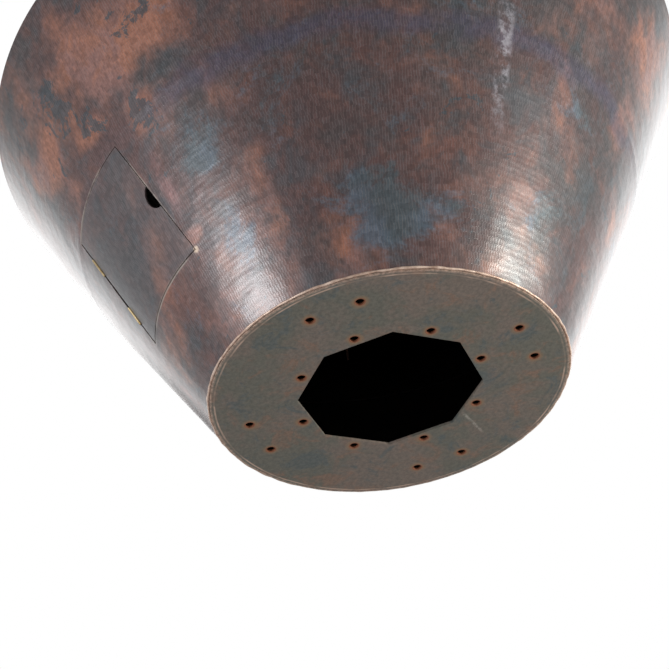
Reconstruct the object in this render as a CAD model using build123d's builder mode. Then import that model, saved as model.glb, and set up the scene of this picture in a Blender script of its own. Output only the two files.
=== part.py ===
"""Conical hammered-copper gas fire bowl standing on its small end.

Frame: origin at the centre of the base plate's underside, +Z up, -Y towards
the access door.  All lengths in mm.
"""

import os
from math import atan, cos, degrees, radians, sin, sqrt

from build123d import *

os.makedirs("parts", exist_ok=True)

# ---- driving dimensions ----------------------------------------------------
BASE_R = 200.0  # outside radius of the small end
SEAM_R, SEAM_Z = 334.0, 234.0  # where the lower and the upper cone are welded
RIM_R, RIM_Z = 428.0, 411.0  # outside edge of the wide end
SKIN = 2.0  # copper sheet
WELD_HALF = 1.5  # half the height of the weld between the cones
PLATE_T = 3.0  # base plate

OCTAGON_R = 104.0  # corner radius of the opening in the base plate
HOLE_R = 5.0
INNER_CIRCLE_R = 106.4
PAIR_CIRCLE_R = 162.0
PAIR_HALF_ANGLE = 10.0

DOOR_TURN = -1.5  # the door sits this many degrees off the -Y direction
DOOR_MID_Z = 158.0
OPENING_LEFT, OPENING_RIGHT = -82.0, 79.5
OPENING_LOW, OPENING_HIGH = 93.0, 229.5
DOOR_GAP = 1.0
LOW_GAP = 1.2  # under the door, whose lower edge swings past the sheet
HINGE_GAP = 1.5  # either side of the hinge line
DOOR_SKIN = 1.6
NOTCH_CHORD, NOTCH_DEPTH = 30.0, 11.5

HINGE_X = OPENING_LEFT + HINGE_GAP
HINGE_ZS = (129.8, 195.4)
HINGE_LENGTH = 25.0
KNUCKLE_R, PIN_R = 1.7, 0.8
LEAF_T, LEAF_WIDTH = 1.2, 20.0
CENTRE_KNUCKLE = 7.8
KNUCKLE_GAP = 0.4
POCKET = (-82.6, -78.2, 117.0, 208.5)  # wider gap that the knuckles lie in

STOP_T, STOP_LAP, STOP_LAND = 1.5, 8.0, 12.0

FLANGE_TOP, FLANGE_T, FLANGE_R = 403.0, 3.0, 345.0
GUSSET_T, GUSSETS = 3.0, 8

PAN_T, PAN_R, PAN_LIP_R, PAN_DEPTH = 1.5, 338.0, 385.0, 60.0
REST_GAP = 0.4  # lift-off pieces above the face they rest on

RING_R, TUBE_R, TUBE_WALL = 150.0, 9.5, 1.5  # TUBE_R: half width of the tube
SPOKE_R = 6.5
PORTS, PORT_R = 32, 1.5
HUB_R, HUB_H, NIPPLE_R = 17.0, 28.0, 8.5

VALVE_Y, VALVE_Z = -165.0, 90.0
BALL_R, BORE_R = 11.0, 7.0
STEM_R = 4.0
LEVER_LENGTH, LEVER_WIDTH, LEVER_T = 86.0, 16.0, 2.5
RISER_R, RISER_WALL, RISER_RUN_Z, RISER_BEND = 6.35, 1.2, 190.0, 35.0
RISER_TOP = 238.0

# ---- derived ---------------------------------------------------------------
SLOPE_LOW = (SEAM_R - BASE_R) / SEAM_Z
SLOPE_UP = (RIM_R - SEAM_R) / (RIM_Z - SEAM_Z)
TILT_LOW, TILT_UP = atan(SLOPE_LOW), atan(SLOPE_UP)
WELD_LOW, WELD_HIGH = SEAM_Z - WELD_HALF, SEAM_Z + WELD_HALF
PAN_FLOOR = FLANGE_TOP + REST_GAP + PAN_T - PAN_DEPTH
RING_Z = PAN_FLOOR + PAN_T + 14.0


def low_r(z, depth=0.0):
    """Radius of the lower cone at height z, depth mm under its outer face."""
    return BASE_R + SLOPE_LOW * z - depth / cos(TILT_LOW)


def up_r(z, depth=0.0):
    """Radius of the upper cone at height z, depth mm under its outer face."""
    return SEAM_R + SLOPE_UP * (z - SEAM_Z) - depth / cos(TILT_UP)


def low_layer(outer, inner):
    """Add a full conical layer between two depths of the lower cone."""
    with BuildSketch(Plane.XZ) as profile:
        Polygon(
            (low_r(PLATE_T, outer), PLATE_T),
            (low_r(WELD_LOW, outer), WELD_LOW),
            (low_r(WELD_LOW, inner), WELD_LOW),
            (low_r(PLATE_T, inner), PLATE_T),
            align=None,
        )
    revolve(profile.sketch, axis=Axis.Z)


def ring(inner, outer, bottom, top):
    """Add a plain flat ring or tube about the Z axis."""
    with BuildSketch(Plane.XY.offset(bottom)) as profile:
        Circle(outer)
        if inner:
            Circle(inner, mode=Mode.SUBTRACT)
    extrude(profile.sketch, amount=top - bottom)


def save(builder, label):
    builder.part.label = label
    export_step(builder.part, f"parts/{label}.step")


def spaced_box(x0, x1, y0, y1, z0, z1):
    """Add a box given by its limits in the current location's axes."""
    with Locations(((x0 + x1) / 2, (y0 + y1) / 2, (z0 + z1) / 2)):
        Box(x1 - x0, y1 - y0, z1 - z0)


def door_turned(plane):
    """Carry a plane laid out at -Y to where the door sits."""
    return Plane(Rotation(0, 0, DOOR_TURN) * plane.location)


# The plane that touches the cone at the door's middle.
DOOR_PLANE = door_turned(
    Plane(
        origin=(0, -low_r(DOOR_MID_Z), DOOR_MID_Z),
        x_dir=(1, 0, 0),
        z_dir=(0, -cos(TILT_LOW), -sin(TILT_LOW)),
    )
)


def door_block(x0, x1, z0, z1, mode):
    """Use the block in front of and behind the door between upright and level cuts."""
    with Locations(Rotation(0, 0, DOOR_TURN)):
        with Locations(((x0 + x1) / 2, -300, (z0 + z1) / 2)):
            Box(x1 - x0, 300, z1 - z0, mode=mode)


def on_hinge_line(z):
    return Vector(HINGE_X, -sqrt(low_r(z) ** 2 - HINGE_X**2), z)


HINGE_AXIS = (on_hinge_line(HINGE_ZS[1]) - on_hinge_line(HINGE_ZS[0])).normalized()


def hinge_plane(z):
    """x towards the door, y into the bowl, z along the pin."""
    turn = atan(-HINGE_X / -on_hinge_line(z).Y)
    out = Vector(-sin(turn) * cos(TILT_LOW), -cos(turn) * cos(TILT_LOW), -sin(TILT_LOW))
    return door_turned(
        Plane(origin=on_hinge_line(z), x_dir=HINGE_AXIS.cross(out), z_dir=HINGE_AXIS)
    )


# ---- bowl ------------------------------------------------------------------
with BuildPart() as lower_cone_shell:
    low_layer(0, SKIN)
    door_block(OPENING_LEFT, OPENING_RIGHT, OPENING_LOW, OPENING_HIGH, Mode.SUBTRACT)
    door_block(*POCKET, Mode.SUBTRACT)
save(lower_cone_shell, "lower_cone_shell")

with BuildPart() as upper_cone_shell:
    with BuildSketch(Plane.XZ):
        Polygon(
            (up_r(WELD_HIGH), WELD_HIGH),
            (up_r(RIM_Z), RIM_Z),
            (up_r(RIM_Z, SKIN), RIM_Z),
            (up_r(WELD_HIGH, SKIN), WELD_HIGH),
            align=None,
        )
    revolve(axis=Axis.Z)
save(upper_cone_shell, "upper_cone_shell")

with BuildPart() as seam_weld_bead:
    with BuildSketch(Plane.XZ):
        Polygon(
            (low_r(WELD_LOW), WELD_LOW),
            (SEAM_R, SEAM_Z),
            (up_r(WELD_HIGH), WELD_HIGH),
            (up_r(WELD_HIGH, SKIN), WELD_HIGH),
            (low_r(WELD_LOW, SKIN), WELD_LOW),
            align=None,
        )
    revolve(axis=Axis.Z)
save(seam_weld_bead, "seam_weld_bead")

with BuildPart() as base_plate:
    ring(0, BASE_R, 0, PLATE_T)
    with BuildSketch(Plane.XY):
        RegularPolygon(OCTAGON_R, 8, rotation=22.5)
        with PolarLocations(INNER_CIRCLE_R, 8):
            Circle(HOLE_R)
        for side in (-1, 1):
            with PolarLocations(PAIR_CIRCLE_R, 4, start_angle=45 + side * PAIR_HALF_ANGLE):
                Circle(HOLE_R)
    extrude(amount=PLATE_T, mode=Mode.SUBTRACT)
save(base_plate, "base_plate")

with BuildPart() as base_braze_bead:
    with BuildSketch(Plane.XZ):
        Polygon(
            (BASE_R, 0.3),
            (BASE_R + 2.1, 0.7),
            (BASE_R + 3.7, 2.6),
            (low_r(PLATE_T + 2.5), PLATE_T + 2.5),
            (low_r(PLATE_T), PLATE_T),
            (BASE_R, PLATE_T),
            align=None,
        )
    revolve(axis=Axis.Z)
save(base_braze_bead, "base_braze_bead")

with BuildPart() as rim_flange:
    with BuildSketch(Plane.XZ):
        Polygon(
            (FLANGE_R, FLANGE_TOP - FLANGE_T),
            (up_r(FLANGE_TOP - FLANGE_T, SKIN), FLANGE_TOP - FLANGE_T),
            (up_r(FLANGE_TOP, SKIN), FLANGE_TOP),
            (FLANGE_R, FLANGE_TOP),
            align=None,
        )
    revolve(axis=Axis.Z)
save(rim_flange, "rim_flange")

with BuildPart() as flange_gussets:
    top, foot = FLANGE_TOP - FLANGE_T, FLANGE_TOP - FLANGE_T - 48
    with BuildSketch(*[Plane.XZ.rotated((0, 0, 22.5 + 45 * i)) for i in range(GUSSETS)]):
        Polygon(
            (FLANGE_R + 15, top),
            (up_r(top, SKIN + 0.05), top),
            (up_r(foot, SKIN + 0.05), foot),
            align=None,
        )
    extrude(amount=GUSSET_T / 2, both=True)
save(flange_gussets, "flange_gussets")

# ---- access door -----------------------------------------------------------
DOOR_LEFT, DOOR_RIGHT = HINGE_X + HINGE_GAP, OPENING_RIGHT - DOOR_GAP
DOOR_LOW, DOOR_HIGH = OPENING_LOW + LOW_GAP, OPENING_HIGH - DOOR_GAP
NOTCH_R = (NOTCH_CHORD**2 / 4 + NOTCH_DEPTH**2) / (2 * NOTCH_DEPTH)
NOTCH_X = DOOR_RIGHT - NOTCH_DEPTH + NOTCH_R


def notch(radius):
    """Cut the round of the finger notch straight through the wall."""
    with BuildSketch(DOOR_PLANE) as profile:
        with Locations((NOTCH_X, 0)):
            Circle(radius)
    extrude(profile.sketch, amount=45, both=True, mode=Mode.SUBTRACT)


with BuildPart() as door_panel:
    low_layer(0, DOOR_SKIN)
    door_block(DOOR_LEFT, DOOR_RIGHT, DOOR_LOW, DOOR_HIGH, Mode.INTERSECT)
    door_block(*POCKET, Mode.SUBTRACT)
    notch(NOTCH_R)
save(door_panel, "door_panel")

with BuildPart() as door_stop_frame:
    low_layer(SKIN, SKIN + STOP_T)
    door_block(
        DOOR_LEFT + 1, OPENING_RIGHT + STOP_LAND,
        OPENING_LOW - STOP_LAND, OPENING_HIGH + 2.3, Mode.INTERSECT,
    )
    door_block(
        DOOR_LEFT - 5, OPENING_RIGHT - STOP_LAP,
        OPENING_LOW + STOP_LAP, OPENING_HIGH - STOP_LAP, Mode.SUBTRACT,
    )
    notch(NOTCH_R + 3.5)
save(door_stop_frame, "door_stop_frame")


def leaf(side, depth, knuckles):
    """A hinge leaf bent to the cone, its tongues and its knuckles."""
    place = hinge_plane(hinge_z)
    low_layer(depth, depth + LEAF_T)
    with Locations(place):
        with Locations((side * (LEAF_WIDTH + 3.7) / 2, 5, 0)):
            Box(LEAF_WIDTH - 3.7, 16, HINGE_LENGTH, mode=Mode.INTERSECT)
        for z0, z1 in knuckles:
            for reach, near in ((4.2, depth + 0.15), (KNUCKLE_R, 0.3)):
                x0, x1 = sorted((side * 0.35, side * reach))
                spaced_box(x0, x1, near, depth + 0.15 + LEAF_T, z0, z1)
            with Locations((0, 0, (z0 + z1) / 2)):
                Cylinder(KNUCKLE_R, z1 - z0)
        Cylinder(PIN_R + 0.04, HINGE_LENGTH + 2, mode=Mode.SUBTRACT)


OUTER = CENTRE_KNUCKLE / 2 + KNUCKLE_GAP
FRAME_KNUCKLES = ((-HINGE_LENGTH / 2, -OUTER), (OUTER, HINGE_LENGTH / 2))
DOOR_KNUCKLES = ((-CENTRE_KNUCKLE / 2, CENTRE_KNUCKLE / 2),)

for hinge_name, hinge_z in zip(("lower", "upper"), HINGE_ZS):
    with BuildPart() as frame_leaf:
        leaf(-1, SKIN, FRAME_KNUCKLES)
    save(frame_leaf, f"{hinge_name}_hinge_frame_leaf")
    with BuildPart() as door_leaf:
        leaf(1, DOOR_SKIN, DOOR_KNUCKLES)
    save(door_leaf, f"{hinge_name}_hinge_door_leaf")

with BuildPart() as hinge_pins:
    for z in HINGE_ZS:
        with Locations(hinge_plane(z)):
            Cylinder(PIN_R, HINGE_LENGTH + 1.0)
            for end in (-1, 1):
                with Locations((0, 0, end * (HINGE_LENGTH / 2 + 0.25))):
                    Cylinder(1.4, 0.5)
save(hinge_pins, "hinge_pins")

with BuildPart() as catch_keeper:
    low_layer(DOOR_SKIN, DOOR_SKIN + 1.0)
    door_block(52, 66, 190.5, 213, Mode.INTERSECT)
save(catch_keeper, "catch_keeper")

with BuildPart() as catch_magnet:
    low_layer(3.0, 9.0)
    door_block(53, 67, 192, 211, Mode.INTERSECT)
save(catch_magnet, "catch_magnet")

with BuildPart() as catch_bracket:
    low_layer(SKIN + STOP_T, 10.5)
    door_block(53, 90.5, 192, 211, Mode.INTERSECT)
    with BuildPart(mode=Mode.SUBTRACT):
        low_layer(SKIN + STOP_T - 1, 9.0)
        door_block(50, 86.5, 188, 216, Mode.INTERSECT)
save(catch_bracket, "catch_bracket")

# ---- gas valve -------------------------------------------------------------
with BuildPart() as valve_bracket:
    spaced_box(-24, 24, VALVE_Y - 22, VALVE_Y + 25, PLATE_T, PLATE_T + 3)
    spaced_box(-24, 24, VALVE_Y + 22, VALVE_Y + 25, PLATE_T, 124)
    with BuildSketch(Plane.XZ.offset(-(VALVE_Y + 22))):
        with Locations((0, 36)):
            Circle(15)
        with Locations((-16, VALVE_Z), (16, VALVE_Z)):
            Circle(2.6)
    extrude(amount=-3, mode=Mode.SUBTRACT)
save(valve_bracket, "valve_bracket")

with BuildPart() as valve_body:
    with Locations((0, VALVE_Y, VALVE_Z)):
        Cylinder(16, 32)
    for z in (VALVE_Z - 30, VALVE_Z + 16):
        with BuildSketch(Plane.XY.offset(z)):
            with Locations((0, VALVE_Y)):
                RegularPolygon(15, 6, major_radius=False)
        extrude(amount=14)
    spaced_box(-22, 22, VALVE_Y + 8, VALVE_Y + 22, VALVE_Z - 9, VALVE_Z + 9)
    with Locations((0, VALVE_Y - 17, VALVE_Z)):
        Cylinder(10, 14, rotation=(90, 0, 0))
    with Locations((0, VALVE_Y, VALVE_Z)):
        Sphere(BALL_R + 0.4, mode=Mode.SUBTRACT)
        Cylinder(BALL_R, 23, mode=Mode.SUBTRACT)
        Cylinder(BORE_R, 64, mode=Mode.SUBTRACT)
    with Locations((0, VALVE_Y - 16, VALVE_Z)):
        Cylinder(STEM_R + 0.35, 20, rotation=(90, 0, 0), mode=Mode.SUBTRACT)
    for x in (-16, 16):
        with Locations((x, VALVE_Y + 17, VALVE_Z)):
            Cylinder(2.5, 10, rotation=(90, 0, 0), mode=Mode.SUBTRACT)
save(valve_body, "valve_body")

with BuildPart() as valve_mount_screws:
    for x in (-16, 16):
        with Locations((x, VALVE_Y + 18.5, VALVE_Z)):
            Cylinder(2.5, 13, rotation=(90, 0, 0))
        with BuildSketch(Plane.XZ.offset(-(VALVE_Y + 25))):
            with Locations((x, VALVE_Z)):
                RegularPolygon(4, 6, major_radius=False)
        extrude(amount=-3.5)
save(valve_mount_screws, "valve_mount_screws")

with BuildPart() as valve_seats:
    for z0, z1 in ((-11.4, -8.3), (8.3, 11.4)):
        with Locations((0, VALVE_Y, VALVE_Z + (z0 + z1) / 2)):
            Cylinder(BALL_R, z1 - z0)
            Cylinder(BORE_R + 1, z1 - z0, mode=Mode.SUBTRACT)
save(valve_seats, "valve_seats")

STEM_FACE = VALVE_Y - 24  # outer face of the stem boss
with BuildPart() as packing_nut:
    with BuildSketch(Plane.XZ.offset(-STEM_FACE)):
        with Locations((0, VALVE_Z)):
            RegularPolygon(8, 6, major_radius=False)
            Circle(STEM_R + 0.35, mode=Mode.SUBTRACT)
    extrude(amount=5)
save(packing_nut, "packing_nut")

with BuildPart() as valve_ball:
    with Locations((0, VALVE_Y, VALVE_Z)):
        Sphere(BALL_R)
        Cylinder(BORE_R, 24, rotation=(0, 90, 0), mode=Mode.SUBTRACT)
    with Locations((0, VALVE_Y - 10.5, VALVE_Z)):
        Box(7.4, 4, 3, mode=Mode.SUBTRACT)
save(valve_ball, "valve_ball")

LEVER_Y = STEM_FACE - 7  # inner face of the lever
with BuildPart() as valve_stem:
    with Locations((0, (VALVE_Y - 12 + LEVER_Y - 8) / 2, VALVE_Z)):
        Cylinder(STEM_R, VALVE_Y - 12 - LEVER_Y + 8, rotation=(90, 0, 0))
    spaced_box(-3.5, 3.5, VALVE_Y - 12.5, VALVE_Y - 8.8, VALVE_Z - 1.4, VALVE_Z + 1.4)
save(valve_stem, "valve_stem")

with BuildPart() as valve_lever:
    with BuildSketch(Plane.XZ.offset(-LEVER_Y)):
        with Locations((LEVER_LENGTH / 2 - 4, VALVE_Z)):
            SlotOverall(LEVER_LENGTH + 8, LEVER_WIDTH)
        with Locations((0, VALVE_Z)):
            Circle(STEM_R, mode=Mode.SUBTRACT)
    extrude(amount=LEVER_T)
save(valve_lever, "valve_lever")

with BuildPart() as lever_grip:
    with BuildSketch(Plane.XZ.offset(-(LEVER_Y + 1.2))):
        with Locations((LEVER_LENGTH - 22, VALVE_Z)):
            SlotOverall(52, LEVER_WIDTH + 2.4)
    extrude(amount=LEVER_T + 2.4)
    with BuildSketch(Plane.XZ.offset(-LEVER_Y)):
        with Locations((LEVER_LENGTH / 2 - 4, VALVE_Z)):
            SlotOverall(LEVER_LENGTH + 8, LEVER_WIDTH)
    extrude(amount=LEVER_T, mode=Mode.SUBTRACT)
save(lever_grip, "lever_grip")

with BuildPart() as lever_nut:
    with BuildSketch(Plane.XZ.offset(-(LEVER_Y - LEVER_T))):
        with Locations((0, VALVE_Z)):
            RegularPolygon(6.5, 6, major_radius=False)
            Circle(STEM_R, mode=Mode.SUBTRACT)
    extrude(amount=4)
save(lever_nut, "lever_nut")

with BuildPart() as inlet_elbow:
    with BuildLine(Plane.YZ) as bend:
        FilletPolyline((VALVE_Y, VALVE_Z - 30), (VALVE_Y, 36), (VALVE_Y + 42, 36), radius=16)
    for radius, mode in ((9.5, Mode.ADD), (6.0, Mode.SUBTRACT)):
        with BuildSketch(Plane(origin=bend.line @ 0, z_dir=bend.line % 0)):
            Circle(radius)
        sweep(path=bend.line, mode=mode)
    with BuildSketch(Plane.XZ.offset(-(VALVE_Y + 32))):
        with Locations((0, 36)):
            RegularPolygon(12, 6, major_radius=False)
            Circle(9.0, mode=Mode.SUBTRACT)
    extrude(amount=-6)
save(inlet_elbow, "inlet_elbow")

with BuildPart() as riser_tube:
    with BuildLine(Plane.YZ) as run:
        FilletPolyline(
            (VALVE_Y, VALVE_Z + 30),
            (VALVE_Y, RISER_RUN_Z),
            (0, RISER_RUN_Z),
            (0, RISER_TOP),
            radius=RISER_BEND,
        )
    with BuildSketch(Plane(origin=run.line @ 0, z_dir=run.line % 0)):
        Circle(RISER_R)
        Circle(RISER_R - RISER_WALL, mode=Mode.SUBTRACT)
    sweep()
save(riser_tube, "riser_tube")

with BuildPart() as riser_nut:
    with BuildSketch(Plane.XY.offset(VALVE_Z + 30)):
        with Locations((0, VALVE_Y)):
            RegularPolygon(11, 6, major_radius=False)
            Circle(RISER_R, mode=Mode.SUBTRACT)
    extrude(amount=16)
save(riser_nut, "riser_nut")

with BuildPart() as orifice_spud:
    with BuildSketch(Plane.XY.offset(RISER_TOP - 12)):
        RegularPolygon(11, 6, major_radius=False)
        Circle(RISER_R, mode=Mode.SUBTRACT)
    extrude(amount=12)
    ring(0, 11, RISER_TOP, RISER_TOP + 4)
    ring(0, 6, RISER_TOP + 4, RISER_TOP + 26)
    ring(0, 5, RISER_TOP, RISER_TOP + 4 + 18)
    with BuildSketch(Plane.XY.offset(RISER_TOP)):
        Circle(4)
    extrude(amount=20, mode=Mode.SUBTRACT)
    with BuildSketch(Plane.XY.offset(RISER_TOP + 20)):
        Circle(0.9)
    extrude(amount=6, mode=Mode.SUBTRACT)
save(orifice_spud, "orifice_spud")

# ---- lift-out burner -------------------------------------------------------
with BuildPart() as pan_rim:
    lip = FLANGE_TOP + REST_GAP
    ring(PAN_R - PAN_T, PAN_LIP_R, lip, lip + PAN_T)
    ring(PAN_R - PAN_T, PAN_R, PAN_FLOOR, lip)
save(pan_rim, "pan_rim")

with BuildPart() as pan_floor:
    ring(NIPPLE_R, PAN_R - PAN_T, PAN_FLOOR, PAN_FLOOR + PAN_T)
    with BuildSketch(Plane.XY.offset(PAN_FLOOR)):
        with PolarLocations(PAN_R - 40, 8, start_angle=22.5):
            Circle(4)
    extrude(amount=PAN_T, mode=Mode.SUBTRACT)
save(pan_floor, "pan_floor")

with BuildPart() as burner_hub:
    ring(0, HUB_R, PAN_FLOOR + PAN_T, PAN_FLOOR + PAN_T + HUB_H)
    ring(0, NIPPLE_R, PAN_FLOOR - 22, PAN_FLOOR + PAN_T)
    with BuildSketch(Plane.XY.offset(PAN_FLOOR - 22)):
        Circle(6)
    extrude(amount=22 + PAN_T + 16, mode=Mode.SUBTRACT)
    with Locations((0, 0, RING_Z)):
        for turn in (45, -45):
            with Locations(Rotation(0, 0, turn)):
                Box(2 * HUB_R + 2, 2 * SPOKE_R, 2 * SPOKE_R, mode=Mode.SUBTRACT)
save(burner_hub, "burner_hub")

def ring_and_spokes(tube, spoke):
    """A square-tube ring joined to the hub by four spokes, at half widths."""
    ring(RING_R - tube, RING_R + tube, RING_Z - tube, RING_Z + tube)
    with Locations((0, 0, RING_Z)):
        for turn in range(45, 360, 90):
            with Locations(Rotation(0, 0, turn)):
                with Locations(((RING_R + HUB_R - 8) / 2, 0, 0)):
                    Box(RING_R - HUB_R + 8, 2 * spoke, 2 * spoke)


with BuildPart() as burner_ring:
    ring_and_spokes(TUBE_R, SPOKE_R)
    with BuildPart(mode=Mode.SUBTRACT):
        ring_and_spokes(TUBE_R - TUBE_WALL, SPOKE_R - TUBE_WALL)
    with PolarLocations(RING_R, PORTS, start_angle=5.625):
        with Locations((0, 0, RING_Z + TUBE_R)):
            Cylinder(PORT_R, 6, mode=Mode.SUBTRACT)
save(burner_ring, "burner_ring")

with BuildPart() as hub_locknut:
    with BuildSketch(Plane.XY.offset(PAN_FLOOR - 8)):
        RegularPolygon(15, 6, major_radius=False)
        Circle(NIPPLE_R, mode=Mode.SUBTRACT)
    extrude(amount=8)
save(hub_locknut, "hub_locknut")

MIXER_BOTTOM = RISER_TOP + 29
with BuildPart() as mixer_tube:
    ring(10, 12, MIXER_BOTTOM, PAN_FLOOR - 20)
    ring(NIPPLE_R, 12, PAN_FLOOR - 22, PAN_FLOOR - 8)
    with Locations((0, 0, MIXER_BOTTOM + 18)):
        for turn in (0, 90):
            with Locations(Rotation(0, 0, turn)):
                Box(30, 9, 20, mode=Mode.SUBTRACT)
save(mixer_tube, "mixer_tube")
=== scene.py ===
from math import atan, cos, pi, radians, sin, sqrt, tan

import bmesh
import bpy
import numpy as np
from mathutils import Matrix, Vector


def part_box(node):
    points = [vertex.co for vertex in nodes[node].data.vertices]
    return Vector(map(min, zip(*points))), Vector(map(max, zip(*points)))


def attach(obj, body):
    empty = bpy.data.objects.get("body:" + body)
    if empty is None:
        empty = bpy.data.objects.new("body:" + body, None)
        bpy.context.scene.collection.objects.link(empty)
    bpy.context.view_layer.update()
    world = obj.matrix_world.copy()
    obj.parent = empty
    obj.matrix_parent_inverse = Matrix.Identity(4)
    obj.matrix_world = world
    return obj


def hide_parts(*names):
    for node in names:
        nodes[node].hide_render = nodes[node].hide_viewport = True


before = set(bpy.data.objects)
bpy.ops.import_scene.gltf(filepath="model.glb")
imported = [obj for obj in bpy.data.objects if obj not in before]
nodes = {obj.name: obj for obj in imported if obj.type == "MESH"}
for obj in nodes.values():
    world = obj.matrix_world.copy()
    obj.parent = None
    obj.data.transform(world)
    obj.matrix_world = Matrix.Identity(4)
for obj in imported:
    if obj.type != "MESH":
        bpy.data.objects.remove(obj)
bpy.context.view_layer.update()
scene = bpy.context.scene
scene.view_settings.view_transform = "Standard"

# ---- sizes of the bowl, metres ---------------------------------------------
BASE_R, SEAM_R, SEAM_Z = 0.200, 0.334, 0.234
RIM_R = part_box("upper_cone_shell")[1].x
RIM_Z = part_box("upper_cone_shell")[1].z
PLATE_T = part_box("base_plate")[1].z
SKIN = 0.002  # thickness of the cones' sheet
WELD = 0.0015  # half the height of the seam's weld
LOW_TILT = atan((SEAM_R - BASE_R) / SEAM_Z)
UP_TILT = atan((RIM_R - SEAM_R) / (RIM_Z - SEAM_Z))

# The door opening, and the slot beside it that the hinge knuckles stand in,
# across and up, before the door's turn off the -Y direction.
DOOR_X, DOOR_Z = (-0.0820, 0.0795), (0.0930, 0.2295)
SLOT_X, SLOT_Z = (-0.0826, -0.0810), (0.1170, 0.2085)
TURNED = Matrix.Rotation(radians(-1.5), 3, "Z")

# Radii of the two circles of base holes. The outer holes are in four pairs.
INNER_CIRCLE, OUTER_CIRCLE = 0.1064, 0.1620
PAIR_HALF_ANGLE = radians(10)


def low_r(z):
    return BASE_R + tan(LOW_TILT) * z


def up_r(z):
    return SEAM_R + tan(UP_TILT) * (z - SEAM_Z)


# ---- node helpers ----------------------------------------------------------
class Nodes:
    """A small writer of node trees."""

    def __init__(self, tree):
        self.tree = tree

    def put(self, socket, value):
        if isinstance(value, bpy.types.NodeSocket):
            self.tree.links.new(value, socket)
        elif isinstance(value, tuple) and len(value) == 3 and socket.type == "RGBA":
            socket.default_value = (*value, 1.0)
        else:
            socket.default_value = value

    def node(self, kind, **settings):
        made = self.tree.nodes.new(kind)
        for key, value in settings.items():
            setattr(made, key, value)
        return made

    def math(self, operation, *values):
        made = self.node("ShaderNodeMath", operation=operation)
        for socket, value in zip(made.inputs, values):
            self.put(socket, value)
        return made.outputs[0]

    def add(self, a, b):
        return self.math("ADD", a, b)

    def sub(self, a, b):
        return self.math("SUBTRACT", a, b)

    def mul(self, a, b):
        return self.math("MULTIPLY", a, b)

    def hypot(self, a, b):
        return self.math("SQRT", self.add(self.mul(a, a), self.mul(b, b)))

    def vector(self, operation, a, b):
        """A vector for ADD, and a number for DISTANCE and DOT_PRODUCT."""
        made = self.node("ShaderNodeVectorMath", operation=operation)
        self.put(made.inputs[0], a)
        self.put(made.inputs[1], b)
        return made.outputs["Vector" if operation == "ADD" else "Value"]

    def steps(self, value, low, high, out_low=0.0, out_high=1.0):
        """A smooth step from out_low at low to out_high at high."""
        made = self.node("ShaderNodeMapRange", interpolation_type="SMOOTHSTEP")
        for socket, entry in zip(made.inputs, (value, low, high, out_low, out_high)):
            self.put(socket, entry)
        return made.outputs["Result"]

    def near(self, value, edge, core, out_low=0.0, out_high=1.0):
        """Like steps, by how far a value is from 0: nothing past edge, full within core."""
        return self.steps(self.math("ABSOLUTE", value), edge, core, out_low, out_high)

    def mix(self, factor, a, b, blend="MIX"):
        made = self.node("ShaderNodeMix", data_type="RGBA", blend_type=blend)
        self.put(made.inputs["Factor"], factor)
        self.put(made.inputs[6], a)
        self.put(made.inputs[7], b)
        return made.outputs[2]


class Shader(Nodes):
    """A new material, and the writer of its nodes."""

    def __init__(self, name):
        self.material = bpy.data.materials.new(name)
        self.material.use_nodes = True
        super().__init__(self.material.node_tree)
        self.bsdf = self.tree.nodes["Principled BSDF"]

    def position(self):
        """Object coordinates, which are the shared frame's, and their parts."""
        point = self.node("ShaderNodeTexCoord").outputs["Object"]
        parts = self.node("ShaderNodeSeparateXYZ")
        self.tree.links.new(point, parts.inputs[0])
        return point, parts.outputs[0], parts.outputs[1], parts.outputs[2]

    def combine(self, x, y, z=0.0):
        made = self.node("ShaderNodeCombineXYZ")
        for socket, value in zip(made.inputs, (x, y, z)):
            self.put(socket, value)
        return made.outputs[0]

    def noise(self, vector, scale, detail=3.0, rough=0.55, distortion=0.0):
        made = self.node("ShaderNodeTexNoise")
        self.put(made.inputs["Vector"], vector)
        settings = ("Scale", scale), ("Detail", detail), ("Roughness", rough), ("Distortion", distortion)
        for key, value in settings:
            made.inputs[key].default_value = value
        return made.outputs["Fac"]

    def speckle(self, colour, factor, dark, light):
        """Multiply a colour by a tint that goes from dark to light with a factor."""
        return self.mix(1.0, colour, self.mix(factor, dark, light), "MULTIPLY")

    def bump(self, height, distance, strength=1.0, normal=None):
        made = self.node("ShaderNodeBump")
        made.inputs["Strength"].default_value = strength
        made.inputs["Distance"].default_value = distance
        self.put(made.inputs["Height"], height)
        if normal is not None:
            self.put(made.inputs["Normal"], normal)
        return made.outputs[0]

    def finish(self, **sockets):
        for key, value in sockets.items():
            self.put(self.bsdf.inputs[key.replace("_", " ")], value)
        return self.material


# ---- hammered, fire-coloured copper ----------------------------------------
STROKE_WIDTH, STROKE_HEIGHT = 0.0031, 0.0066
SLANT_PER_HEIGHT, RADIUS_PER_SLANT = 1.142, 0.485  # between the two cones'
ROW_STAGGER = 7.31
RIDGE_DEPTH = 0.000042


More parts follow.
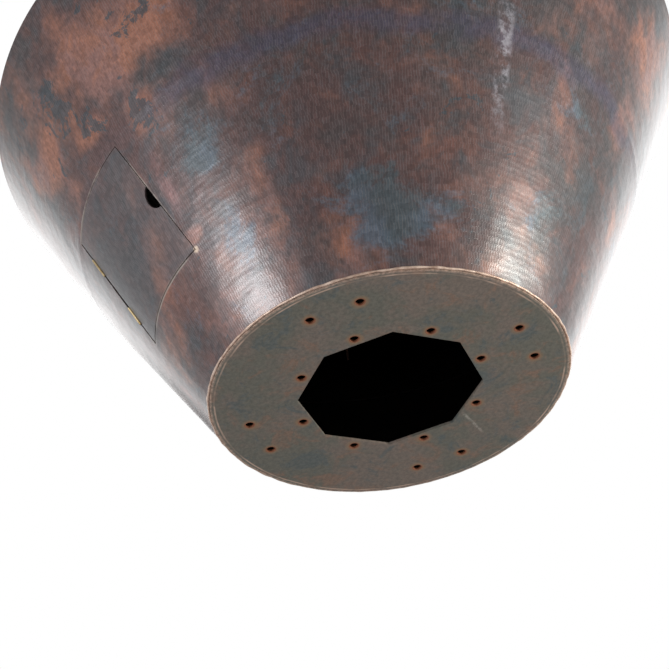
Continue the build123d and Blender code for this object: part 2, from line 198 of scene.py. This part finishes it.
def hammer_strokes(s, x, y, z):
    """Fine strokes in level rows: their ridges, a value for each, and their run across."""
    point = s.combine(x, y, z)
    wander_down = s.noise(point, 95.0, 2.0)
    wander_along = s.noise(s.vector("ADD", point, (0.7, 0.3, 0.1)), 95.0, 2.0)
    slope = s.add(s.mul(z, SLANT_PER_HEIGHT), s.mul(wander_down, STROKE_HEIGHT * 0.9))
    rows = s.math("DIVIDE", slope, STROKE_HEIGHT)
    row = s.math("FLOOR", rows)
    radius = s.add(s.mul(row, STROKE_HEIGHT * RADIUS_PER_SLANT), BASE_R)
    along = s.mul(s.math("ARCTAN2", y, x), radius)
    along = s.add(along, s.mul(wander_along, STROKE_WIDTH * 1.6))
    along = s.add(s.math("DIVIDE", along, STROKE_WIDTH), s.mul(row, ROW_STAGGER))
    cell = s.node("ShaderNodeTexWhiteNoise", noise_dimensions="2D")
    s.put(cell.inputs["Vector"], s.combine(s.math("FLOOR", along), row))
    across = s.math("COSINE", s.mul(along, 2 * pi))
    down = s.math("COSINE", s.mul(rows, 2 * pi))
    ridge = s.add(s.mul(across, 0.50), s.mul(down, 0.42))
    ridge = s.mul(ridge, s.add(s.mul(cell.outputs["Value"], 0.5), 0.5))
    return ridge, cell.outputs["Value"], across


def stain(s, turn, z, azimuth, level, wide, tall):
    """A soft oval from 1 at its middle to 0, by degrees from -Y and height."""
    du = s.mul(s.sub(turn, azimuth), 1 / wide)
    dv = s.mul(s.sub(z, level), 1 / tall)
    return s.steps(s.hypot(du, dv), 1.0, 0.1)


def stains(s, turn, z, ovals):
    total = 0.0
    for *oval, weight in ovals:
        total = s.add(total, s.mul(stain(s, turn, z, *oval), weight))
    return total


# Where each kind of patch gathers: azimuth in degrees from -Y, height, half
# width in degrees, half height, and weight.
WARM = (
    (20, 0.305, 30, 0.075, 0.26), (-6, 0.325, 20, 0.090, 0.22), (132, 0.330, 22, 0.070, 0.20),
    (22, 0.230, 6, 0.040, 0.30), (9, 0.262, 8, 0.022, 0.26), (18, 0.105, 6, 0.016, 0.30),
    (55, 0.030, 14, 0.030, 0.12), (46, 0.128, 8, 0.040, -0.14), (100, 0.180, 12, 0.050, -0.14),
    (150, 0.040, 8, 0.060, 0.16), (60, 0.300, 30, 0.050, 0.10),
)
COOL = (
    (63, 0.062, 14, 0.060, 0.34), (31, 0.165, 9, 0.050, 0.24), (70, 0.038, 12, 0.030, 0.16),
    (80, 0.060, 14, 0.035, 0.18), (52, 0.165, 10, 0.040, 0.08), (30, 0.075, 9, 0.060, 0.30),
    (112, 0.100, 8, 0.060, 0.12), (118, 0.200, 14, 0.026, 0.14), (150, 0.150, 14, 0.060, 0.10),
    (48, 0.130, 16, 0.030, 0.06),
)
FLAKES = (
    (28, 0.322, 9, 0.034, 0.22), (4, 0.318, 8, 0.050, 0.22), (10, 0.268, 5, 0.026, 0.20),
    (22, 0.230, 5, 0.036, 0.24), (-10, 0.360, 8, 0.030, 0.12), (45, 0.300, 10, 0.020, 0.10),
)
ROSE_STRIP = (18.4, 0.162, 3.0, 0.050)
HIGHLIGHT_STREAK_AZIMUTH = 94.6
SEAM_BAND_AZIMUTH = 84.0

UMBER, PLUM, ASH = (0.072, 0.061, 0.065), (0.126, 0.062, 0.059), (0.072, 0.068, 0.072)
RUST_RED, STEEL_BLUE = (0.210, 0.085, 0.064), (0.058, 0.080, 0.098)
ORANGE, SALMON = (0.420, 0.165, 0.100), (0.320, 0.150, 0.125)
TEAL, SLATE = (0.072, 0.100, 0.118), (0.104, 0.142, 0.192)
ROSE, FLAKE_BLACK, VIOLET = (0.330, 0.165, 0.160), (0.052, 0.068, 0.084), (0.080, 0.068, 0.115)
# The first of these is the white of a painted highlight streak; the second is the door's grey film.
PAINTED_HIGHLIGHT_WHITE, GREY_FILM = (0.400, 0.370, 0.420), (0.115, 0.118, 0.130)
# The first of these is a painted sheen on the hammer ridges; the second is edge wear with a painted
# highlight.
STROKE_PAINTED_SHEEN, EDGE_WEAR_HIGHLIGHT = (0.300, 0.270, 0.265), (0.420, 0.360, 0.320)
# Bare copper at the door's corner, with a painted highlight on it.
BARE_COPPER_HIGHLIGHT = (0.750, 0.560, 0.420)


def patina_and_painted_highlight(s, point, x, y, z):
    """Fire colours: umber, red, orange, rose, slate blue, the seam's violet band, and a whitish painted
    highlight streak.
    """

    def cloud(offset, *settings):
        return s.noise(s.vector("ADD", point, offset), *settings)

    turn = s.mul(s.math("ARCTAN2", x, s.mul(y, -1.0)), 180 / pi)
    big = s.noise(point, 6.0, 4.0, 0.6, 0.6)
    mid = cloud((3.1, 1.7, 0.4), 13.0, 4.0, 0.55, 0.5)
    blot = cloud((7.9, 4.2, 2.4), 11.0, 6.0, 0.68, 1.2)
    tone = cloud((1.3, 8.2, 5.1), 19.0, 4.0, 0.6, 0.4)
    fine = s.noise(point, 190.0, 4.0, 0.75)
    grit = s.mul(s.sub(fine, 0.5), 0.30)
    rust = cloud((5.3, 2.9, 6.2), 26.0, 5.0, 0.62, 0.7)
    steel = cloud((9.1, 0.6, 3.7), 22.0, 5.0, 0.62, 0.9)

    colour = s.mix(s.steps(big, 0.38, 0.60), UMBER, PLUM)
    colour = s.mix(s.steps(tone, 0.45, 0.70, 0.0, 0.6), colour, ASH)
    colour = s.mix(s.steps(rust, 0.48, 0.72, 0.0, 0.60), colour, RUST_RED)
    colour = s.mix(s.steps(steel, 0.47, 0.70, 0.0, 0.60), colour, STEEL_BLUE)

    warm = s.add(mid, stains(s, turn, z, WARM))
    hot = s.mix(s.steps(tone, 0.40, 0.60), ORANGE, SALMON)
    colour = s.mix(s.steps(warm, 0.50, 0.80, 0.0, 0.92), colour, hot)
    cool = s.add(s.add(blot, grit), stains(s, turn, z, COOL))
    cold = s.mix(s.steps(mid, 0.42, 0.58), TEAL, SLATE)
    colour = s.mix(s.steps(cool, 0.56, 0.76, 0.0, 0.85), colour, cold)
    rose = s.mul(stain(s, turn, z, *ROSE_STRIP), s.steps(mid, 0.34, 0.56, 0.3, 0.8))
    colour = s.mix(rose, colour, ROSE)
    flake = cloud((6.6, 3.3, 1.1), 27.0, 6.0, 0.70, 1.0)
    flake = s.add(s.add(flake, grit), stains(s, turn, z, FLAKES))
    colour = s.mix(s.steps(flake, 0.640, 0.680, 0.0, 0.82), colour, FLAKE_BLACK)

    off_seam = s.add(s.sub(z, SEAM_Z - 0.004), s.mul(s.sub(mid, 0.5), 0.05))
    band = s.mul(s.near(off_seam, 0.020, 0.002), s.steps(blot, 0.30, 0.60, 0.15, 0.75))
    band = s.mul(band, s.near(s.sub(turn, SEAM_BAND_AZIMUTH), 66.0, 48.0, 0.12, 1.0))
    colour = s.mix(band, colour, VIOLET)

    # A whitish streak up the lower cone: a painted highlight, a narrow strip of reflected light painted
    # into the colour.
    painted_highlight_streak = s.near(s.sub(turn, HIGHLIGHT_STREAK_AZIMUTH), 2.2, 0.9)
    painted_highlight_streak = s.mul(painted_highlight_streak, s.mul(s.steps(z, 0.115, 0.190), s.steps(z, 0.300, 0.250)))
    ragged = s.noise(point, 75.0, 5.0, 0.70)
    painted_highlight_streak = s.mul(painted_highlight_streak, s.steps(ragged, 0.42, 0.62, 0.04, 0.85))
    colour = s.mix(painted_highlight_streak, colour, PAINTED_HIGHLIGHT_WHITE)
    colour = s.speckle(colour, s.steps(fine, 0.34, 0.66), (0.82, 0.82, 0.82), (1.18, 1.18, 1.18))
    return colour, mid, fine


def door_edge_wear_and_highlight(s, colour, point, x, y, z, mid, fine):
    """Bright bare metal at one corner of the door opening, and a thin worn line all round it: wear,
    painted brighter as a highlight on the edges too.
    """
    across, height = DOOR_X[1], DOOR_Z[0]
    corner = TURNED @ Vector((across, -sqrt(low_r(height) ** 2 - across**2), height))
    apart = s.add(s.vector("DISTANCE", point, tuple(corner)), s.mul(fine, 0.004))
    colour = s.mix(s.steps(apart, 0.0070, 0.0038, 0.0, 0.9), colour, BARE_COPPER_HIGHLIGHT)

    level = (DOOR_Z[0] + DOOR_Z[1]) / 2
    beside = s.add(s.mul(x, TURNED[0][0]), s.mul(y, TURNED[1][0]))
    beside = s.math("ABSOLUTE", s.sub(beside, (DOOR_X[0] + DOOR_X[1]) / 2))
    beside = s.sub(beside, (DOOR_X[1] - DOOR_X[0]) / 2)
    above = s.sub(s.math("ABSOLUTE", s.sub(z, level)), DOOR_Z[1] - level)
    wear_and_highlight = s.near(s.math("MAXIMUM", beside, above), 0.0020, 0.0008)
    wear_and_highlight = s.mul(wear_and_highlight, s.steps(y, -0.05, -0.10))
    wear_and_highlight = s.mul(wear_and_highlight, s.steps(s.add(mid, s.mul(fine, 0.3)), 0.58, 0.74, 0.05, 0.75))
    return s.mix(wear_and_highlight, colour, EDGE_WEAR_HIGHLIGHT)


def copper(name, marks=1.0, grey=0.0):
    s = Shader(name)
    point, x, y, z = s.position()
    colour, mid, fine = patina_and_painted_highlight(s, point, x, y, z)
    if grey:
        colour = s.mix(grey, colour, GREY_FILM)
    ridge, cell, across = hammer_strokes(s, x, y, z)
    colour = s.speckle(colour, cell, (0.84, 0.84, 0.84), (1.16, 1.16, 1.16))
    # The ridges between hammer strokes painted lighter: a painted sheen on them.
    painted_ridge_sheen = s.mul(s.steps(across, 0.35, 1.0), s.add(s.mul(cell, 0.30), 0.02))
    colour = s.mix(painted_ridge_sheen, colour, STROKE_PAINTED_SHEEN)
    colour = door_edge_wear_and_highlight(s, colour, point, x, y, z, mid, fine)
    bumps = s.bump(ridge, RIDGE_DEPTH * marks, 1.0)
    bumps = s.bump(s.noise(point, 45.0, 3.0), 0.0005 * marks, 0.5, bumps)
    return s.finish(
        Base_Color=colour, Metallic=0.20, Roughness=s.steps(mid, 0.3, 0.7, 0.34, 0.46), Normal=bumps,
        Coat_Weight=1.0, Coat_Roughness=0.25, Coat_Normal=bumps,
    )


# ---- the other finishes ----------------------------------------------------
def plain_metal(name, colour, dark, rough, scale=60.0, metallic=1.0, bump=0.0002):
    s = Shader(name)
    point = s.position()[0]
    cloud = s.noise(point, scale, 4.0, 0.6)
    grain = s.noise(point, scale * 14, 2.0)
    return s.finish(
        Base_Color=s.mix(s.steps(cloud, 0.35, 0.7), colour, dark),
        Metallic=metallic,
        Roughness=s.steps(grain, 0.3, 0.7, rough, rough + 0.14),
        Normal=s.bump(grain, bump, 0.4),
    )


def hole_distance(s, x, y, circle, step, centre, offset=0.0):
    """Distance to the nearest hole of a ring of holes or of pairs of holes."""
    radius = s.hypot(x, y)
    angle = s.sub(s.math("ARCTAN2", y, x), centre)
    local = s.sub(s.math("FLOORED_MODULO", s.add(angle, step / 2), step), step / 2)
    if offset:
        local = s.sub(s.math("ABSOLUTE", local), offset)
    dx = s.sub(s.mul(radius, s.math("COSINE", local)), circle)
    dy = s.mul(radius, s.math("SINE", local))
    return s.hypot(dx, dy)


OLIVE, TAN = (0.166, 0.156, 0.130), (0.212, 0.168, 0.142)
PLATE_RUST, PLATE_GREEN = (0.265, 0.160, 0.115), (0.115, 0.134, 0.136)
HOLE_HALO, HOLE_LIP = (0.320, 0.190, 0.105), (0.300, 0.110, 0.060)
# The first is bare metal at the plate's edge with a painted highlight; the second is a scratch.
PLATE_BARE_HIGHLIGHT, SCRATCH_SHINE = (0.620, 0.430, 0.340), (0.520, 0.470, 0.420)
BARE_HIGHLIGHT_LINE_R = 0.1962
SCRATCH_START, SCRATCH_WAY = (-0.0206, 0.0996), (-0.588, 0.809)


def plate_material():
    s = Shader("matt_base_plate")
    point, x, y, _ = s.position()
    cloud = s.noise(point, 9.0, 5.0, 0.65, 0.7)
    blot = s.noise(s.vector("ADD", point, (2.2, 6.1, 0.0)), 26.0, 6.0, 0.72, 0.8)
    speck = s.noise(point, 210.0, 4.0, 0.75)
    colour = s.mix(s.steps(cloud, 0.42, 0.58), OLIVE, TAN)
    colour = s.mix(s.steps(blot, 0.52, 0.66, 0.0, 0.75), colour, PLATE_RUST)
    colour = s.mix(s.steps(blot, 0.46, 0.36, 0.0, 0.75), colour, PLATE_GREEN)
    colour = s.speckle(colour, s.steps(speck, 0.34, 0.66), (0.80, 0.82, 0.82), (1.20, 1.18, 1.18))

    inner = hole_distance(s, x, y, INNER_CIRCLE, pi / 4, 0.0)
    outer = hole_distance(s, x, y, OUTER_CIRCLE, pi / 2, pi / 4, PAIR_HALF_ANGLE)
    near = s.math("MINIMUM", inner, outer)
    uneven = s.add(near, s.mul(s.noise(point, 60.0), 0.006))
    colour = s.mix(s.steps(uneven, 0.0150, 0.0080, 0.0, 0.80), colour, HOLE_HALO)
    colour = s.mix(s.steps(near, 0.0068, 0.0054, 0.0, 0.9), colour, HOLE_LIP)

    # A line and a band of bright bare metal just inside the braze, painted bright as a highlight too.
    radius = s.hypot(x, y)
    wavy = s.add(radius, s.mul(s.noise(point, 30.0), 0.0024))
    line = s.near(s.sub(wavy, BARE_HIGHLIGHT_LINE_R), 0.0013, 0.0005)
    line = s.mul(line, s.steps(s.noise(point, 24.0, 3.0), 0.42, 0.60, 0.15, 0.9))
    edge = s.mul(s.steps(radius, 0.1965, 0.1995), s.steps(speck, 0.40, 0.62, 0.25, 0.85))
    colour = s.mix(s.math("MAXIMUM", line, edge), colour, PLATE_BARE_HIGHLIGHT)

    from_x, from_y = s.sub(x, SCRATCH_START[0]), s.sub(y, SCRATCH_START[1])
    along = s.add(s.mul(from_x, SCRATCH_WAY[0]), s.mul(from_y, SCRATCH_WAY[1]))
    aside = s.add(s.mul(from_x, SCRATCH_WAY[1]), s.mul(from_y, -SCRATCH_WAY[0]))
    span = s.mul(s.steps(along, -0.002, 0.006), s.steps(along, 0.052, 0.040))
    span = s.mul(span, s.steps(speck, 0.35, 0.6, 0.10, 0.60))
    colour = s.mix(s.mul(s.near(aside, 0.0024, 0.0006), span), colour, SCRATCH_SHINE)

    marks = s.node("ShaderNodeTexVoronoi", feature="SMOOTH_F1")
    s.put(marks.inputs["Vector"], point)
    marks.inputs["Scale"].default_value = 62.0
    bumps = s.bump(marks.outputs["Distance"], 0.0004, 0.14)
    return s.finish(
        Base_Color=colour, Metallic=0.20, Roughness=s.steps(speck, 0.3, 0.7, 0.46, 0.60),
        Normal=s.bump(speck, 0.0002, 0.5, bumps),
    )


SKIN_COPPER = copper("hammered_fire_copper")
DOOR_COPPER = copper("door_fire_copper", marks=0.35, grey=0.4)
# The cones' inner faces: dark oxide, painted near-black as the shade of the closed interior.
INSIDE_OXIDE_AND_SHADE = plain_metal(
    "dark_oxide_and_painted_shade_inside", (0.012, 0.009, 0.008), (0.030, 0.018, 0.013), 0.6, 25.0, 0.3
)
PLATE = plate_material()
BRASS = plain_metal("satin_brass", (0.68, 0.52, 0.29), (0.48, 0.34, 0.17), 0.30, 120.0)
BEAD = plain_metal("bright_braze", (0.90, 0.68, 0.56), (0.52, 0.33, 0.25), 0.34, 110.0, 0.35, 0.0004)
DULL = plain_metal("dull_copper_sheet", (0.30, 0.15, 0.10), (0.13, 0.075, 0.06), 0.42, 22.0)
STAINLESS = plain_metal("brushed_stainless", (0.44, 0.43, 0.41), (0.39, 0.38, 0.365), 0.34, 30.0)
PLATED = plain_metal("zinc_plated_steel", (0.56, 0.56, 0.55), (0.40, 0.40, 0.38), 0.32, 70.0)
CHROME = plain_metal("hard_chrome", (0.80, 0.80, 0.80), (0.70, 0.70, 0.71), 0.08, 50.0)
FERRITE = plain_metal("dark_ferrite", (0.030, 0.030, 0.032), (0.018, 0.018, 0.020), 0.55, 150.0, 0.0)
VINYL = plain_metal("yellow_dipped_vinyl", (0.72, 0.50, 0.03), (0.62, 0.41, 0.02), 0.42, 60.0, 0.0)
SEATS = plain_metal("white_fluoropolymer", (0.86, 0.86, 0.84), (0.78, 0.78, 0.76), 0.40, 90.0, 0.0)

LOOKS = {
    DOOR_COPPER: ["door_panel"],
    SKIN_COPPER: ["seam_weld_bead"],
    PLATE: ["base_plate"],
    BRASS: [
        "lower_hinge_frame_leaf", "lower_hinge_door_leaf", "upper_hinge_frame_leaf",
        "upper_hinge_door_leaf", "hinge_pins", "valve_body", "packing_nut", "valve_stem",
        "inlet_elbow", "riser_nut", "orifice_spud", "lever_nut", "mixer_tube",
    ],
    DULL: ["rim_flange", "flange_gussets", "door_stop_frame", "catch_bracket", "riser_tube"],
    STAINLESS: ["pan_rim", "pan_floor", "burner_ring", "burner_hub", "hub_locknut"],
    PLATED: ["valve_bracket", "valve_mount_screws", "valve_lever", "catch_keeper"],
    CHROME: ["valve_ball"],
    FERRITE: ["catch_magnet"],
    VINYL: ["lever_grip"],
    SEATS: ["valve_seats"],
}
for material, names in LOOKS.items():
    for name in names:
        nodes[name].data.materials.clear()
        nodes[name].data.materials.append(material)


# ---- mesh helpers ----------------------------------------------------------
def mesh_object(name, points, faces, materials, indices=None):
    mesh = bpy.data.meshes.new(name)
    mesh.from_pydata([tuple(p) for p in points], [], faces)
    for material in materials:
        mesh.materials.append(material)
    if indices is not None:
        mesh.polygons.foreach_set("material_index", np.array(indices, np.int32))
    made = bpy.data.objects.new(name, mesh)
    scene.collection.objects.link(made)
    return made


def smooth_with_edges(made, angle=35):
    """Shade smooth, with hard edges where faces meet at more than an angle in degrees."""
    work = bmesh.new()
    work.from_mesh(made.data)
    for face in work.faces:
        face.smooth = True
    for edge in work.edges:
        if len(edge.link_faces) == 2 and edge.calc_face_angle(0) > radians(angle):
            edge.smooth = False
    work.to_mesh(made.data)
    work.free()


def carve(made, cutters):
    """Cut closed shapes out of a mesh and drop them."""
    for cutter in cutters:
        tool = made.modifiers.new("cut", "BOOLEAN")
        tool.operation, tool.object, tool.solver = "DIFFERENCE", cutter, "MANIFOLD"
    bpy.context.view_layer.update()
    evaluated = made.evaluated_get(bpy.context.evaluated_depsgraph_get())
    result = bpy.data.meshes.new_from_object(evaluated)
    made.modifiers.clear()
    made.data = result
    for cutter in cutters:
        bpy.data.objects.remove(cutter)
    if not result.polygons or len(result.materials) != 2:
        raise RuntimeError("the door opening was not cut cleanly")


# ---- shells ----------------------------------------------------------------
BLOW_SPACING, BLOW_DEPTH = 0.021, 0.00026
BLOW_SEED = 3
EDGE_FADE = 0.006  # the blows fade out this near to a sheet's ends
CUTTER_Y = (-0.45, -0.15)


def hashed(key, line, across, down, gain):
    """A repeatable value from 0 to 1 for each blow."""
    value = np.sin(key * across + line * down + BLOW_SEED) * gain
    return value - np.floor(value)


def blows(theta, slant, radius):
    """Depth from 0 to 1 of overlapping planishing blows laid in rows."""
    row = np.floor(slant / BLOW_SPACING).astype(int)
    best = np.full(theta.shape, 9.0)
    for step in (-1, 0, 1):
        line = row + step
        count = np.maximum(np.round(2 * pi * radius / BLOW_SPACING), 3)
        spot = np.floor(theta / (2 * pi) * count)
        for side in (-1, 0, 1):
            key = (spot + side) % count
            jig = hashed(key, line, 12.9898, 78.233, 43758.5453)
            jog = hashed(key, line, 39.3461, 11.135, 24634.6345)
            du = theta * radius - (spot + side + 0.2 + 0.6 * jig) / count * 2 * pi * radius
            dv = slant - (line + 0.2 + 0.6 * jog) * BLOW_SPACING
            best = np.minimum(best, (du * du + dv * dv) / BLOW_SPACING**2)
    return 1.0 - np.clip(best / 0.5, 0, 1)


def cone_sheet(name, r0, z0, r1, z1, columns, rows):
    """A closed conical sheet with planished unevenness in its outer face."""
    turn = np.arange(columns) * 2 * pi / columns
    theta, level = np.meshgrid(turn, np.linspace(0, 1, rows + 1))
    radius = r0 + (r1 - r0) * level
    height = z0 + (z1 - z0) * level
    tilt = atan((r1 - r0) / (z1 - z0))
    slant = (height - z0) / cos(tilt)
    span = slant.max()
    ends = np.clip(np.minimum(slant, span - slant) / EDGE_FADE, 0, 1)
    rows_up = np.floor((slant - span / 2) / BLOW_SPACING)
    row_radius = (r0 + r1) / 2 + rows_up * BLOW_SPACING * sin(tilt)
    wave = 0.5 + 0.25 * np.sin(3 * theta + 9 * level) + 0.25 * np.sin(7 * theta - 5 * level + 1)
    sink = BLOW_DEPTH * ends * (0.75 * blows(theta, slant, row_radius) + 0.25 * wave)
    outer = radius - sink / cos(tilt)
    inner = radius - SKIN / cos(tilt)
    points = np.concatenate([
        np.stack([ring * np.cos(theta), ring * np.sin(theta), height], -1).reshape(-1, 3)
        for ring in (outer, inner)
    ])
    faces, indices = [], []
    shift = columns * (rows + 1)
    for j in range(rows):
        for i in range(columns):
            a, b = j * columns + i, j * columns + (i + 1) % columns
            faces.append((a, b, b + columns, a + columns))
            faces.append((shift + b, shift + a, shift + a + columns, shift + b + columns))
            indices += [0, 1]
    for i in range(columns):
        a, b = i, (i + 1) % columns
        faces.append((b, a, shift + a, shift + b))
        a, b = a + rows * columns, b + rows * columns
        faces.append((a, b, shift + b, shift + a))
        indices += [0, 0]
    return mesh_object(name, points, faces, [SKIN_COPPER, INSIDE_OXIDE_AND_SHADE], indices)


def door_cutter(across, level):
    """An upright-sided, level-ended block that the sheet is cut with at the door."""
    (x0, x1), (y0, y1) = across, CUTTER_Y
    ring = (x0, y0), (x1, y0), (x1, y1), (x0, y1)
    corners = [TURNED @ Vector((x, y, z)) for z in level for x, y in ring]
    faces = [(3, 2, 1, 0), (4, 5, 6, 7), (0, 1, 5, 4), (1, 2, 6, 5), (2, 3, 7, 6), (3, 0, 4, 7)]
    return mesh_object("cutter", corners, faces, [SKIN_COPPER])


low_top = SEAM_Z - WELD
lower = cone_sheet("hammered_lower_cone", low_r(PLATE_T), PLATE_T, low_r(low_top), low_top, 520, 90)
carve(lower, [door_cutter(DOOR_X, DOOR_Z), door_cutter(SLOT_X, SLOT_Z)])
smooth_with_edges(lower)
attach(lower, "bowl")
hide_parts("lower_cone_shell")

up_foot = SEAM_Z + WELD
upper = cone_sheet("hammered_upper_cone", up_r(up_foot), up_foot, RIM_R, RIM_Z, 560, 80)
smooth_with_edges(upper)
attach(upper, "bowl")
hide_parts("upper_cone_shell")


# ---- braze round the base plate --------------------------------------------
BEAD_R, BEAD_LEVEL, BEAD_SIZE = 0.2014, 0.0024, 0.0013
BEAD_LOWEST = 0.0003


def ripple(turn, waves, seed):
    rng = np.random.default_rng(seed)
    total = np.zeros_like(turn)
    for wave in waves:
        total += np.sin(wave * turn + rng.uniform(0, 2 * pi)) / len(waves)
    return total


def braze_bead():
    around, sides = 1440, 10
    turn = np.arange(around) * 2 * pi / around
    size = BEAD_SIZE + 0.0004 * ripple(turn, (13, 29, 47, 71), 5)
    centre_r = BEAD_R + 0.0005 * ripple(turn, (7, 19, 37, 59), 8)
    centre_z = BEAD_LEVEL + 0.0003 * ripple(turn, (11, 23, 41), 9)
    points, faces = [], []
    for i in range(around):
        for k in range(sides):
            a = 2 * pi * k / sides
            r = centre_r[i] + size[i] * cos(a)
            z = max(centre_z[i] + size[i] * sin(a), BEAD_LOWEST)
            points.append((r * cos(turn[i]), r * sin(turn[i]), z))
            j, m = (i + 1) % around, (k + 1) % sides
            faces.append((i * sides + k, j * sides + k, j * sides + m, i * sides + m))
    bead = mesh_object("braze_bead", points, faces, [BEAD])
    smooth_with_edges(bead, 80)
    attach(bead, "bowl")
    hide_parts("base_braze_bead")


braze_bead()


# ---- floor, light, camera --------------------------------------------------
FLOOR_HALF, FLOOR_Z = 6.0, -0.0006
EYE = Vector((1.1729, -0.6809, -0.9850))
AIM_FROM = (62.02, -38.46)  # azimuth and elevation that the camera looks from
ROLL = -9.515
LENS_MM, SENSOR_MM = 81.64, 36.0
CARD_AT = (259, 20)  # azimuth and elevation of the dark card in the room


def towards(azimuth, elevation):
    """Unit vector at an azimuth from -Y towards +X, and an elevation."""
    a, e = radians(azimuth), radians(elevation)
    return Vector((sin(a) * cos(e), -cos(a) * cos(e), sin(e)))


def floor():
    """A pale floor that shows from above only and takes no part in the light."""
    signs = (-1, -1), (1, -1), (1, 1), (-1, 1)
    corners = [(x * FLOOR_HALF, y * FLOOR_HALF, FLOOR_Z) for x, y in signs]
    ground = mesh_object("floor", corners, [(0, 1, 2, 3)], [])
    s = Shader("pale_floor")
    grain = s.noise(s.position()[0], 18.0, 4.0)
    s.finish(Base_Color=s.mix(grain, (0.80, 0.80, 0.79), (0.84, 0.84, 0.83)), Roughness=0.9)
    side = s.node("ShaderNodeNewGeometry").outputs["Backfacing"]
    clear = s.node("ShaderNodeBsdfTransparent")
    blend = s.node("ShaderNodeMixShader")
    for socket, value in zip(blend.inputs, (side, s.bsdf.outputs[0], clear.outputs[0])):
        s.put(socket, value)
    s.put(s.tree.nodes["Material Output"].inputs["Surface"], blend.outputs[0])
    ground.data.materials.append(s.material)
    for ray in ("diffuse", "glossy", "shadow"):
        setattr(ground, f"visible_{ray}", False)


floor()


def softbox(name, azimuth, away, level, width, height, radiance, tint):
    """An upright area light facing the bowl's axis, sizes in metres."""
    lamp = bpy.data.lights.new(name, "AREA")
    lamp.shape = "RECTANGLE"
    lamp.size, lamp.size_y = width, height
    lamp.energy = radiance * pi * width * height
    lamp.color = tint
    made = bpy.data.objects.new(name, lamp)
    way = towards(azimuth, 0)
    made.location = way * away + Vector((0, 0, level))
    made.rotation_mode = "QUATERNION"
    made.rotation_quaternion = way.to_track_quat("Z", "Y")
    made.visible_camera = False
    scene.collection.objects.link(made)


softbox("softbox_left", 2, 1.25, -0.30, 0.46, 0.38, 14.0, (0.94, 0.98, 1.0))
softbox("softbox_right", 141, 1.25, -0.28, 0.60, 0.35, 24.5, (0.975, 0.995, 0.93))


def surroundings():
    """White behind the object, and a room that is brightest opposite the camera's place."""
    world = bpy.data.worlds.new("studio")
    scene.world = world
    world.use_nodes = True
    w = Nodes(world.node_tree)
    w.tree.nodes.clear()
    way = w.node("ShaderNodeTexCoord").outputs["Generated"]
    glow = w.steps(w.vector("DOT_PRODUCT", way, EYE.normalized()), -0.95, -0.58, 1.9, 0.30)
    card = w.steps(w.vector("DOT_PRODUCT", way, towards(*CARD_AT)), 0.972, 0.990, 1.0, 0.05)
    room = w.node("ShaderNodeBackground")
    w.put(room.inputs["Strength"], w.mul(glow, card))
    paper = w.node("ShaderNodeBackground")
    w.put(paper.inputs["Strength"], 1.0)
    for background in (room, paper):
        w.put(background.inputs["Color"], (1.0, 1.0, 1.0))
    seen = w.node("ShaderNodeLightPath").outputs["Is Camera Ray"]
    pick = w.node("ShaderNodeMixShader")
    for socket, value in zip(pick.inputs, (seen, room.outputs[0], paper.outputs[0])):
        w.put(socket, value)
    w.put(w.node("ShaderNodeOutputWorld").inputs["Surface"], pick.outputs[0])


surroundings()

lens = bpy.data.cameras.new("camera")
lens.sensor_width = SENSOR_MM
lens.lens = LENS_MM
lens.clip_start = 0.05
camera = bpy.data.objects.new("camera", lens)
scene.collection.objects.link(camera)
camera.location = EYE
camera.rotation_mode = "QUATERNION"
look = (-towards(*AIM_FROM)).to_track_quat("-Z", "Y")
camera.rotation_quaternion = look @ Matrix.Rotation(radians(ROLL), 3, "Z").to_quaternion()
scene.camera = camera
